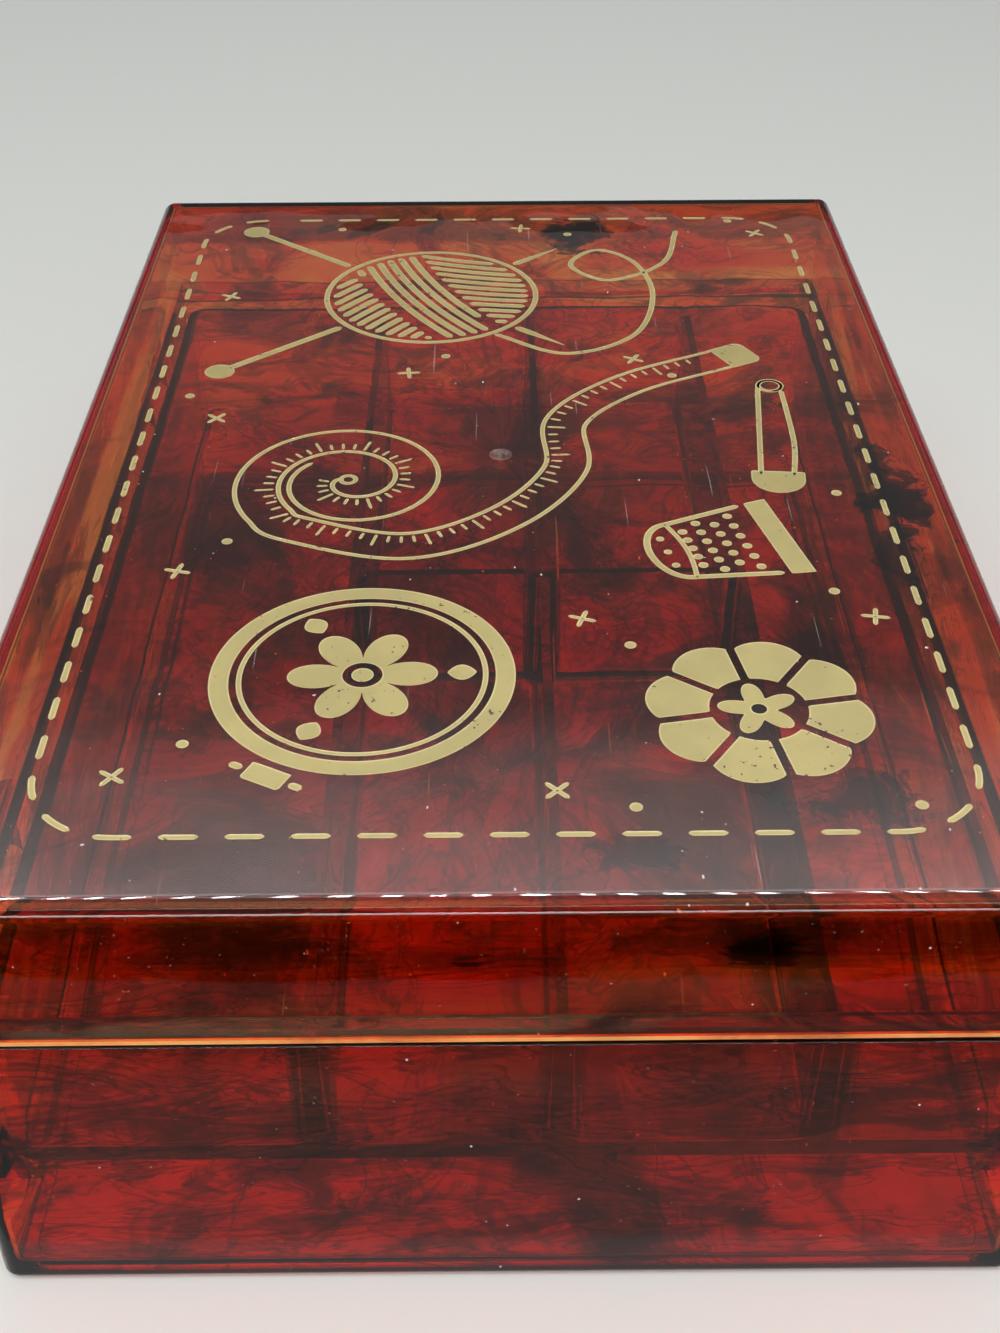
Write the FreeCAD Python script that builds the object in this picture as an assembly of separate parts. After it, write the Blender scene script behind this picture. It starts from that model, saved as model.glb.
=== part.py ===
"""Moulded plastic sewing box: a base, a hinged lid and a lift-out tray with compartments.

X runs along the length, the front faces -Y, the hinges are at +Y, and Z points up.
The origin is at the bottom, in the centre of the box that encloses the whole object.
"""
import FreeCAD, Part
import math
import os

from FreeCAD import Vector

# Outside of the closed box
length = 266.0
depth = 178.0
height = 91.6
corner_radius = 3.2
wall = 2.6

# Seam between base and lid
shoulder_height = 61.4
seam_gap_rear = 0.35
seam_gap_front = 0.80
tongue_height = 5.4
tongue_thickness = 1.25
tongue_clearance = 0.4
tongue_lead_in = 0.35
seam_edge_bevel = 0.3

# Base
foot_rim_height = 1.2
foot_rim_width = 3.0
base_floor = 2.4
bottom_edge_radius = 2.2
inside_edge_radius = 1.5
inside_corner_radius = 1.6
corner_rest_leg = 9.0
corner_rest_height = 16.5
fusing_overlap = 0.5

# Lid
lid_top = 2.6
lid_edge_radius = 3.0
lid_inside_radius = 1.4
gate_dimple_radius = 2.0
gate_dimple_depth = 0.35
gate_stub_radius = 0.75
gate_x = -4.0
thumb_lip_length = 42.0
thumb_lip_reach = 2.4
thumb_lip_height = 3.2
thumb_lip_corner_radius = 2.2

# Lift-out tray
tray_clearance = 2.0
tray_wall = 1.9
tray_floor = 2.7
tray_floor_height = 28.0
tray_rim_height = 60.2
tray_seat_gap = 0.35
tray_corner_radius = 4.5
tray_edge_radius = 1.2
pocket_corner_radius = 3.2
pocket_floor_radius = 1.5
partition_thickness = 1.8
partition_drop = 1.5
mould_draft = 1.0
long_partitions = (31.9, -9.0, -52.2)
cross_partition = 0.0

# Hinges
hinge_spacing = 176.0
hinge_offset = 2.9
knuckle_radius = 2.6
base_knuckle_width = 8.0
lid_knuckle_width = 12.0
knuckle_gap = 0.35
web_height = 8.0
web_root = 0.6
stop_heel_radius = 3.72
stop_heel_angle = -30.0
pin_radius = 0.8
pin_recess = 0.4
pin_bevel = 0.2
press_interference = 0.015
running_clearance = 0.06

hinge_reach = hinge_offset + stop_heel_radius * math.cos(math.radians(stop_heel_angle))
centre_y = (thumb_lip_reach - hinge_reach) / 2
rear_y = centre_y + depth / 2
front_y = centre_y - depth / 2
axis_y = rear_y + hinge_offset
axis_z = shoulder_height + seam_gap_rear / 2
inside_length = length - 2 * wall
inside_depth = depth - 2 * wall
big = 2 * length
tolerance = 1e-4


def rounded_outline(size_x, size_y, radius, z, x=0.0, y=centre_y):
    """Closed wire of a rectangle with round corners, centred on (x, y) at height z."""
    half_x = size_x / 2
    half_y = size_y / 2
    edges = []
    corners = ((1, 1), (-1, 1), (-1, -1), (1, -1))
    previous = None
    for index, (side_x, side_y) in enumerate(corners):
        centre = Vector(x + side_x * (half_x - radius), y + side_y * (half_y - radius), z)
        start = math.radians(90 * index)
        points = [centre + Vector(math.cos(start + turn), math.sin(start + turn), 0) * radius
                  for turn in (0, math.pi / 4, math.pi / 2)]
        if previous is not None:
            edges.append(Part.LineSegment(previous, points[0]).toShape())
        else:
            first = points[0]
        edges.append(Part.Arc(*points).toShape())
        previous = points[2]
    edges.append(Part.LineSegment(previous, first).toShape())
    return Part.Wire(edges)


def block(size_x, size_y, radius, low, high, **place):
    """Upright block with round vertical edges, from height low to height high."""
    outline = rounded_outline(size_x, size_y, radius, low, **place)
    return Part.Face(outline).extrude(Vector(0, 0, high - low))


def tapered_block(size_x, size_y, radius, low, high, draft, **place):
    """Block of the given size at its top that narrows towards its foot by the mould's draft."""
    narrowing = 2 * (high - low) * math.tan(math.radians(draft))
    foot = rounded_outline(size_x - narrowing, size_y - narrowing, radius, low, **place)
    top = rounded_outline(size_x, size_y, radius, high, **place)
    return Part.makeLoft([foot, top], True, True)


def edges_at(shape, z):
    """Edges that lie wholly at height z."""
    return [edge for edge in shape.Edges
            if abs(edge.BoundBox.ZMin - z) < tolerance and abs(edge.BoundBox.ZMax - z) < tolerance]


def extrude_along_x(points, start, width):
    """Prism on a closed polygon of (y, z) points about the hinge axis, from x = start."""
    corners = [Vector(start, axis_y + y, axis_z + z) for y, z in points]
    face = Part.Face(Part.makePolygon(corners + corners[:1]))
    return face.extrude(Vector(width, 0, 0))


def polar(radius, angle):
    """Point (y, z) at an angle in degrees about the hinge axis."""
    turn = math.radians(angle)
    return radius * math.cos(turn), radius * math.sin(turn)


def barrel(radius, start, width):
    """Cylinder along the hinge axis."""
    return Part.makeCylinder(radius, width, Vector(start, axis_y, axis_z), Vector(1, 0, 0))


def web(side):
    """Outline of the web that carries a knuckle: side is -1 down on the base, 1 up on the lid."""
    foot_distance = math.hypot(hinge_offset, web_height)
    foot_angle = math.degrees(math.atan2(web_height, -hinge_offset))
    touch_angle = foot_angle - math.degrees(math.acos(knuckle_radius / foot_distance))
    touch_y, touch_z = polar(knuckle_radius, touch_angle)
    inner = -hinge_offset - web_root
    outline = [(inner, web_root), (inner, web_height), (-hinge_offset, web_height),
               (touch_y, touch_z), (0, 0)]
    return [(y, side * z) for y, z in outline]


def stop_heel():
    """Outline of the heel on a lid knuckle that meets the rear wall when the lid is open."""
    spread = math.degrees(math.acos(knuckle_radius / stop_heel_radius))
    return [(0, 0), polar(knuckle_radius, stop_heel_angle - spread),
            polar(stop_heel_radius, stop_heel_angle),
            polar(knuckle_radius, stop_heel_angle + spread)]


def hinge_starts():
    """Left end of each hinge's row of three knuckles."""
    row = 2 * base_knuckle_width + lid_knuckle_width + 2 * knuckle_gap
    return [side * hinge_spacing / 2 - row / 2 for side in (-1, 1)], row


def base_knuckles():
    """Two knuckles for each hinge, with their webs, and the tight bores for the pins."""
    starts, row = hinge_starts()
    solids = []
    bores = []
    for start in starts:
        for x in (start, start + row - base_knuckle_width):
            solids.append(barrel(knuckle_radius, x, base_knuckle_width))
            solids.append(extrude_along_x(web(-1), x, base_knuckle_width))
        bores.append(barrel(pin_radius - press_interference, start - 1, row + 2))
    return solids, bores


def lid_knuckles():
    """One knuckle for each hinge, with its web and stop heel, and the running bores."""
    starts, row = hinge_starts()
    solids = []
    bores = []
    for start in starts:
        x = start + base_knuckle_width + knuckle_gap
        solids.append(barrel(knuckle_radius, x, lid_knuckle_width))
        solids.append(extrude_along_x(web(1), x, lid_knuckle_width))
        solids.append(extrude_along_x(stop_heel(), x, lid_knuckle_width))
        bores.append(barrel(pin_radius + running_clearance, x - 1, lid_knuckle_width + 2))
    return solids, bores


def corner_rest(side_x, side_y):
    """Gusset in a corner of the base: a triangle on top that runs out to a point below."""
    top = tray_floor_height - tray_seat_gap
    x = side_x * (inside_length / 2 + fusing_overlap)
    y = centre_y + side_y * (inside_depth / 2 + fusing_overlap)
    leg = corner_rest_leg + 2 * fusing_overlap
    corner = Vector(x, y, top)
    along = Vector(x - side_x * leg, y, top)
    across = Vector(x, y - side_y * leg, top)
    toe = Vector(x, y, top - corner_rest_height)
    faces = [Part.Face(Part.makePolygon([a, b, c, a]))
             for a, b, c in ((corner, along, across), (corner, along, toe),
                             (corner, across, toe), (along, across, toe))]
    return Part.Solid(Part.Shell(faces))


def base_shell():
    """Base: outer walls, floor raised on a foot rim, shoulder and tongue, rests and knuckles."""
    shell = block(length, depth, corner_radius, 0, shoulder_height)
    shell = shell.makeFillet(bottom_edge_radius, edges_at(shell, 0))
    shell = shell.makeChamfer(seam_edge_bevel, edges_at(shell, shoulder_height))
    inset = wall - tongue_thickness
    top = shoulder_height + tongue_height
    tongue = block(length - 2 * inset, depth - 2 * inset, corner_radius - inset,
                   shoulder_height - wall, top)
    tongue = tongue.makeChamfer(tongue_lead_in, edges_at(tongue, top))
    floor_top = foot_rim_height + base_floor
    hollow = block(inside_length, inside_depth, inside_corner_radius, floor_top, top + 1)
    hollow = hollow.makeFillet(inside_edge_radius, edges_at(hollow, floor_top))
    rim_inset = 2 * (bottom_edge_radius + foot_rim_width)
    recess = block(length - rim_inset, depth - rim_inset, corner_radius, -1, foot_rim_height)
    shell = shell.fuse(tongue).cut(hollow).cut(recess)
    rests = [corner_rest(x, y) for x in (-1, 1) for y in (-1, 1)]
    knuckles, bores = base_knuckles()
    return shell.fuse(rests + knuckles).cut(bores).removeSplitter()


def seam_height(y):
    """Height of the lid's lower edge, which stands a little further off the base at the front."""
    share = (rear_y - y) / depth
    return shoulder_height + seam_gap_rear + share * (seam_gap_front - seam_gap_rear)


def seam_wedge():
    """Everything below the slightly sloping plane of the lid's lower edge."""
    near, far = front_y - depth, rear_y + depth
    points = [Vector(-big, y, z) for y, z in ((near, seam_height(near)), (near, -height),
                                              (far, -height), (far, seam_height(far)))]
    return Part.Face(Part.makePolygon(points + points[:1])).extrude(Vector(2 * big, 0, 0))


def lower_edges(shape):
    """Edges of the lid that lie in the plane of its lower edge."""
    return [edge for edge in shape.Edges
            if all(abs(point.z - seam_height(point.y)) < tolerance
                   for point in edge.discretize(3))]


def thumb_lip():
    """Ledge on the lid's front edge, with a rounded nose, for lifting the lid."""
    low = seam_height(front_y)
    reach = thumb_lip_reach
    tall = thumb_lip_height
    profile = [Vector(0, front_y + wall / 2, low), Vector(0, front_y + wall / 2, low + 2 * tall),
               Vector(0, front_y, low + 2 * tall), Vector(0, front_y - reach, low + tall / 2),
               Vector(0, front_y - reach, low)]
    face = Part.Face(Part.makePolygon(profile + profile[:1]))
    lip = face.extrude(Vector(thumb_lip_length, 0, 0))
    lip.translate(Vector(-thumb_lip_length / 2, 0, 0))
    ends = [edge for edge in lip.Edges
            if edge.BoundBox.YMax < front_y - reach + tolerance and edge.BoundBox.XLength < tolerance]
    return lip.makeFillet(thumb_lip_corner_radius, ends)


def gate_mark(lid):
    """Dimple near the middle of the lid's top, with the stub of the moulding gate in it."""
    foot = height - gate_dimple_depth
    dimple = Part.makeCylinder(gate_dimple_radius, 2, Vector(gate_x, centre_y, foot))
    stub = Part.makeCylinder(gate_stub_radius, gate_dimple_depth, Vector(gate_x, centre_y, foot))
    return lid.cut(dimple).fuse(stub)


def lid_shell():
    """Lid: a shallow box with rounded top edges, rebated to pass outside the base's tongue."""
    shell = block(length, depth, corner_radius, shoulder_height, height)
    shell = shell.makeFillet(lid_edge_radius, edges_at(shell, height))
    shell = shell.cut(seam_wedge())
    shell = shell.makeChamfer(seam_edge_bevel, lower_edges(shell))
    ceiling = height - lid_top
    hollow = block(inside_length, inside_depth, inside_corner_radius,
                   shoulder_height - 1, ceiling)
    hollow = hollow.makeFillet(lid_inside_radius, edges_at(hollow, ceiling))
    skirt = wall - tongue_thickness - tongue_clearance
    rebate_top = shoulder_height + tongue_height + tongue_clearance
    rebate = block(length - 2 * skirt, depth - 2 * skirt, corner_radius - skirt,
                   shoulder_height - 1, rebate_top)
    shell = shell.cut([hollow, rebate])
    knuckles, bores = lid_knuckles()
    shell = shell.fuse(knuckles).cut(bores)
    lip = thumb_lip().cut(rebate)
    return gate_mark(shell.fuse(lip)).removeSplitter()


def pockets():
    """The tray's compartments: lanes between the long walls, two of them divided half way."""
    low = tray_floor_height + tray_floor
    rim = tray_rim_height
    outer_y = inside_depth / 2 - tray_clearance - tray_wall
    outer_x = inside_length / 2 - tray_clearance - tray_wall
    half = partition_thickness / 2
    walls = [outer_y + half] + list(long_partitions) + [-outer_y - half]
    ends = {1: (-outer_x - half, cross_partition, outer_x + half),
            2: (-outer_x - half, cross_partition, outer_x + half)}
    solids = []
    for lane in range(len(walls) - 1):
        near, far = walls[lane + 1] + half, walls[lane] - half
        stops = ends.get(lane, (-outer_x - half, outer_x + half))
        for left, right in zip(stops, stops[1:]):
            left, right = left + half, right - half
            pocket = tapered_block(right - left, far - near, pocket_corner_radius, low, rim,
                                   mould_draft, x=(left + right) / 2,
                                   y=centre_y + (near + far) / 2)
            solids.append(pocket.makeFillet(pocket_floor_radius, edges_at(pocket, low)))
    return solids


def lift_out_tray():
    """Tray of one moulding: tapering outer walls and compartments let into it from above."""
    size_x = inside_length - 2 * tray_clearance
    size_y = inside_depth - 2 * tray_clearance
    tray = tapered_block(size_x, size_y, tray_corner_radius, tray_floor_height,
                         tray_rim_height, mould_draft)
    tray = tray.makeFillet(tray_edge_radius, edges_at(tray, tray_floor_height))
    well = block(size_x - 2 * tray_wall, size_y - 2 * tray_wall, pocket_corner_radius,
                 tray_rim_height - partition_drop, tray_rim_height + 1)
    return tray.cut(pockets() + [well]).removeSplitter()


def hinge_pin(start, row):
    """Steel pin, a little shorter than its row of knuckles, with bevelled ends."""
    pin = barrel(pin_radius, start + pin_recess, row - 2 * pin_recess)
    rims = [edge for edge in pin.Edges if edge.BoundBox.XLength < tolerance]
    return pin.makeChamfer(pin_bevel, rims)


def main():
    """Build every piece, report what it measures and write it to its own file."""
    starts, row = hinge_starts()
    pieces = {
        "base_shell": base_shell(),
        "lid_shell": lid_shell(),
        "lift_out_tray": lift_out_tray(),
        "left_hinge_pin": hinge_pin(starts[0], row),
        "right_hinge_pin": hinge_pin(starts[1], row),
    }
    os.makedirs("parts", exist_ok=True)
    for name, shape in pieces.items():
        box = shape.BoundBox
        print(f"{name}: solids {len(shape.Solids)}, valid {shape.isValid()}, "
              f"volume {shape.Volume / 1000:.1f} cm3, "
              f"x {box.XMin:.2f}..{box.XMax:.2f}, y {box.YMin:.2f}..{box.YMax:.2f}, "
              f"z {box.ZMin:.2f}..{box.ZMax:.2f}")
        shape.exportStep(f"parts/{name}.step")


main()
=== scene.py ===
"""Dresses a moulded sewing box: tortoiseshell plastic, a gold print on the lid, and a stage."""
import math

import bmesh
import bpy
import numpy as np
from mathutils import Matrix, Vector


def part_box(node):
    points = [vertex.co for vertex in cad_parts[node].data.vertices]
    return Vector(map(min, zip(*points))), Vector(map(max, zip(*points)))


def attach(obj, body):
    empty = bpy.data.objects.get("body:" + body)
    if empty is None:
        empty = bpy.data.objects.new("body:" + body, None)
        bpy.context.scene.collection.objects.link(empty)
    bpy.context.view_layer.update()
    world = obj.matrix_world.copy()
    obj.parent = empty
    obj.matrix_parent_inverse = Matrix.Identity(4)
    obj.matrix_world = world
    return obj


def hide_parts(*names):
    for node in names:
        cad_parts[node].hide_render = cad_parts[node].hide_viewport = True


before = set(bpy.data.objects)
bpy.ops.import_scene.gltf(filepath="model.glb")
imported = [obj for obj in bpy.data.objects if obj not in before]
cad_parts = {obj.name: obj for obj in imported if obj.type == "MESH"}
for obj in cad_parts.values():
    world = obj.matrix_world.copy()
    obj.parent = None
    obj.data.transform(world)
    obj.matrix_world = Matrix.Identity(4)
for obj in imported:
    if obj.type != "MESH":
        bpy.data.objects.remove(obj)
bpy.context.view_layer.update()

bl_info = {
    "name": "Tortoiseshell sewing box",
    "version": (1, 0, 0),
    "blender": (4, 5, 0),
    "location": "3D View > Sidebar > Sewing box",
    "description": "Makes a tortoiseshell sewing box with a gold print, and its stage",
    "category": "Add Mesh",
}

MM = 0.001
LID_LOW, LID_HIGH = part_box("lid_shell")
BASE_LOW, BASE_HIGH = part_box("base_shell")
LID_TOP = LID_HIGH.z
FRONT_Y = BASE_LOW.y
BOX_DEPTH = 178 * MM
MIDDLE_Y = FRONT_Y + BOX_DEPTH / 2
NEAR_X = BASE_LOW.x
GATE_X = -4 * MM
SEAM_REAR = 61.75 * MM
SEAM_FRONT = 62.20 * MM


# Sizes and colours that a user may change

class PlasticLook(bpy.types.PropertyGroup):
    """Colours and marbling of the translucent plastic."""
    clear: bpy.props.FloatVectorProperty(
        name="Clear amber", description="What one wall lets through where it is clearest",
        subtype="COLOR", default=(0.94, 0.535, 0.25), min=0, max=1)
    red: bpy.props.FloatVectorProperty(
        name="Red", description="Further tint of one wall in its red patches",
        subtype="COLOR", default=(0.87, 0.31, 0.29), min=0, max=1)
    smoke: bpy.props.FloatVectorProperty(
        name="Smoke", description="Further tint of one wall in the brown clouds and wisps",
        subtype="COLOR", default=(0.20, 0.165, 0.155), min=0, max=1)
    ink: bpy.props.FloatVectorProperty(
        name="Ink", description="Further tint of one wall in the dark blotches",
        subtype="COLOR", default=(0.030, 0.045, 0.06), min=0, max=1)
    # Painted glow: the lid's lower edge gets this bright colour as though light came out of it.
    glow: bpy.props.FloatVectorProperty(
        name="Painted edge glow", description="Colour of the lid's lower edge, where light comes out",
        subtype="COLOR", default=(1.0, 0.47, 0.13), min=0, max=1)
    wall: bpy.props.FloatProperty(
        name="Wall", description="Thickness of the wall that the clear colour is given for",
        subtype="DISTANCE", unit="LENGTH", default=0.0026, min=0.0001)
    patch: bpy.props.FloatProperty(
        name="Patch size", description="Usual width of the amber and red patches",
        subtype="DISTANCE", unit="LENGTH", default=0.060, min=0.005)
    cloud: bpy.props.FloatProperty(
        name="Cloud size", description="Usual width of the brown clouds",
        subtype="DISTANCE", unit="LENGTH", default=0.034, min=0.002)
    flattening: bpy.props.FloatProperty(
        name="Flattening", description="How much the marbling is drawn out along the walls",
        default=2.8, min=1)
    fan: bpy.props.FloatProperty(
        name="Fan", description="How strongly the marbling fans out from the moulding gate",
        subtype="DISTANCE", unit="LENGTH", default=0.018, min=0)
    roughness: bpy.props.FloatProperty(
        name="Roughness", description="Roughness of the polished surface",
        default=0.0, min=0, max=1)
    bend: bpy.props.FloatProperty(
        name="Refractive index", description="How strongly the plastic bends light",
        default=1.53, min=1)


class PrintLook(bpy.types.PropertyGroup):
    """Thickness and colours of the gold print."""
    thickness: bpy.props.FloatProperty(
        name="Thickness", description="Height of the foil's pressed edge",
        subtype="DISTANCE", unit="LENGTH", default=0.00004, min=0.00001)
    gap: bpy.props.FloatProperty(
        name="Gap", description="Space between the foil and the lid",
        subtype="DISTANCE", unit="LENGTH", default=0.00001, min=0)
    rim: bpy.props.FloatProperty(
        name="Edge width", description="Width of the paler pressed edge",
        subtype="DISTANCE", unit="LENGTH", default=0.00026, min=0.00001)
    gold: bpy.props.FloatVectorProperty(
        name="Gold", description="Colour of the foil", subtype="COLOR",
        default=(0.40, 0.325, 0.105), min=0, max=1)
    # Painted highlight: the foil's pressed edge is coloured paler than the foil.
    edge: bpy.props.FloatVectorProperty(
        name="Edge", description="Colour of the foil's pressed edge", subtype="COLOR",
        default=(0.52, 0.44, 0.20), min=0, max=1)
    bare: bpy.props.FloatVectorProperty(
        name="Pinhole", description="Colour of the plastic in the foil's pinholes",
        subtype="COLOR", default=(0.05, 0.012, 0.008), min=0, max=1)
    metallic: bpy.props.FloatProperty(
        name="Metal", description="How metallic the foil is", default=0.12, min=0, max=1)
    roughness: bpy.props.FloatProperty(
        name="Roughness", description="Roughness of the foil", default=0.48, min=0, max=1)


class StageSizes(bpy.types.PropertyGroup):
    """Camera and floor."""
    camera_place: bpy.props.FloatVectorProperty(
        name="Camera place", description="Where the lens stands", subtype="TRANSLATION",
        unit="LENGTH", default=(-0.30761, -0.00009, 0.26669))
    camera_down: bpy.props.FloatProperty(
        name="Camera tilt", description="How far the camera looks below the horizon",
        subtype="ANGLE", unit="ROTATION", default=math.radians(37.071))
    camera_turn: bpy.props.FloatProperty(
        name="Camera turn", description="How far the camera turns left of the box's length",
        subtype="ANGLE", unit="ROTATION", default=math.radians(-0.2715))
    camera_roll: bpy.props.FloatProperty(
        name="Camera roll", description="How far the camera is rolled",
        subtype="ANGLE", unit="ROTATION", default=math.radians(0.2586))
    lens: bpy.props.FloatProperty(
        name="Lens", description="Focal length on a 36 mm frame, along the photograph's long side",
        subtype="DISTANCE_CAMERA", default=45.979, min=1)
    floor: bpy.props.FloatVectorProperty(
        name="Floor", description="Colour of the floor", subtype="COLOR",
        default=(0.84, 0.86, 0.825), min=0, max=1)
    floor_size: bpy.props.FloatProperty(
        name="Floor size", description="Length of each side of the floor",
        subtype="DISTANCE", unit="LENGTH", default=8.0, min=1)


# Shader helpers

def put(tree, kind, inputs=None, **fields):
    """Add a node, set its fields, then set or connect its inputs."""
    made = tree.nodes.new(kind)
    for name, value in fields.items():
        setattr(made, name, value)
    for key, value in (inputs or {}).items():
        if isinstance(value, bpy.types.NodeSocket):
            tree.links.new(value, made.inputs[key])
        else:
            made.inputs[key].default_value = value
    return made


def maths(tree, operation, first, second=0.0, clamp=False):
    """One step of arithmetic on two numbers."""
    return put(tree, "ShaderNodeMath", {0: first, 1: second},
               operation=operation, use_clamp=clamp).outputs[0]


def vectors(tree, operation, first, second):
    """One step of arithmetic on two vectors."""
    return put(tree, "ShaderNodeVectorMath", {0: first, 1: second}, operation=operation)


def fade(tree, value, start, end, low=0.0, high=1.0):
    """Smooth passage from low to high as the value goes from start to end."""
    return put(tree, "ShaderNodeMapRange", {"Value": value, "From Min": start, "From Max": end,
                                            "To Min": low, "To Max": high},
               interpolation_type="SMOOTHSTEP").outputs["Result"]


def blend_colours(tree, share, first, second):
    """Mix of two colours by a share from 0 to 1."""
    mix = put(tree, "ShaderNodeMix", {"Factor": share}, data_type="RGBA")
    for socket, value in ((mix.inputs[6], first), (mix.inputs[7], second)):
        if isinstance(value, bpy.types.NodeSocket):
            tree.links.new(value, socket)
        else:
            socket.default_value = (*value, 1)
    return mix.outputs[2]


def noise(tree, place, size, detail=3.0, roughness=0.5, distortion=0.0):
    """Cloudy noise whose features are about the given size in metres."""
    return put(tree, "ShaderNodeTexNoise", {
        "Vector": place, "Scale": 1 / size, "Detail": detail, "Roughness": roughness,
        "Distortion": distortion})


def new_material(name):
    """Empty node material with its output node."""
    material = bpy.data.materials.new(name)
    material.use_nodes = True
    material.node_tree.nodes.clear()
    return material, material.node_tree, material.node_tree.nodes.new("ShaderNodeOutputMaterial")


# Tortoiseshell plastic

LID_BLOTS = ((-23, -78, 10, 5, 1.0), (-9, -75, 8, 3, 0.9), (-44, -73, 8, 2, 0.8),
             (108, -21, 8, 6, 1.0), (-109, -53, 4, 9, 0.9), (-114, -58, 3, 6, 0.8),
             (-122, -20, 3, 5, 0.8), (20, 30, 5, 4, 0.4), (60, 62, 5, 3, 0.4))


def pulled(tree, place, size, reach):
    """Place moved about by a colour noise of the given size, up to half the reach each way."""
    pull = noise(tree, place, size, 2).outputs["Color"]
    centred = vectors(tree, "SUBTRACT", pull, (0.5, 0.5, 0.5)).outputs[0]
    offset = put(tree, "ShaderNodeVectorMath", {0: centred, "Scale": reach},
                 operation="SCALE").outputs[0]
    return vectors(tree, "ADD", place, offset).outputs[0]


def marbled_place(tree, place, shift, look):
    """Coordinates of the flow: fanned out from the moulding gate, flattened along the walls, and
    stirred by a slow noise and a quick one."""
    centred = vectors(tree, "SUBTRACT", place, (GATE_X, MIDDLE_Y, 0)).outputs[0]
    level = vectors(tree, "MULTIPLY", centred, (1, 1, 0)).outputs[0]
    outward = vectors(tree, "NORMALIZE", level, (0, 0, 0)).outputs[0]
    fan = put(tree, "ShaderNodeVectorMath", {0: outward, "Scale": look.fan},
              operation="SCALE").outputs[0]
    squeezed = vectors(tree, "MULTIPLY", centred, (0.7, 0.7, look.flattening)).outputs[0]
    flow = vectors(tree, "ADD", squeezed, fan).outputs[0]
    moved = vectors(tree, "ADD", flow, shift).outputs[0]
    return pulled(tree, pulled(tree, moved, 0.055, 0.080), 0.013, 0.014)


def painted_light_margin_share(tree, place):
    """Share of painted light, from 0.35 in the middle of the lid's top to 1 at its outside, by the
    larger of how far along the length and how far along the depth the place is. Also that, and the
    height."""
    centred = vectors(tree, "SUBTRACT", place, (0, MIDDLE_Y, 0)).outputs[0]
    size = (2 / (LID_HIGH.x - LID_LOW.x), 2 / BOX_DEPTH, 0)
    far = put(tree, "ShaderNodeVectorMath", {
        0: vectors(tree, "MULTIPLY", centred, size).outputs[0]}, operation="ABSOLUTE").outputs[0]
    parts = put(tree, "ShaderNodeSeparateXYZ", {0: far})
    farthest = maths(tree, "MAXIMUM", parts.outputs["X"], parts.outputs["Y"])
    height = put(tree, "ShaderNodeSeparateXYZ", {0: place}).outputs["Z"]
    top = fade(tree, height, LID_TOP - 12 * MM, LID_TOP - 3 * MM)
    return maths(tree, "MULTIPLY", top, fade(tree, farthest, 0.50, 0.92, 0.35)), farthest, height


def blots(tree, place, spots):
    """Share of ink: 1 inside ragged round spots given as x, y, half sizes in
    millimetres and strength."""
    ragged = noise(tree, place, 0.007, 6, 0.66, 0.8).outputs["Fac"]
    edge = fade(tree, ragged, 0.25, 0.75, -0.9, 0.9)
    bent = pulled(tree, place, 0.012, 0.012)
    total = None
    for x, y, along, across, strength in spots:
        offset = vectors(tree, "SUBTRACT", bent, (x * MM, y * MM + MIDDLE_Y, LID_TOP)).outputs[0]
        size = (1 / (along * MM), 1 / (across * MM), 1 / (6 * MM))
        away = vectors(tree, "LENGTH", vectors(tree, "MULTIPLY", offset, size).outputs[0],
                       (0, 0, 0)).outputs["Value"]
        spot = fade(tree, maths(tree, "ADD", away, edge), 1.35, 0.95, 0, strength)
        total = spot if total is None else maths(tree, "MAXIMUM", total, spot)
    return total


def shade_and_reflection_bands(tree, height):
    """Shares of the two bands of the lid's walls: the deep red one below the rounded top edge, which
    is painted shade, and the paler one below that, which is a painted reflection."""
    below = fade(tree, height, LID_TOP - 1.5 * MM, LID_TOP - 5 * MM)
    upper = fade(tree, height, LID_TOP - 14 * MM, LID_TOP - 12.4 * MM)
    return maths(tree, "MULTIPLY", below, upper), maths(tree, "SUBTRACT", 1.0, upper)


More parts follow.
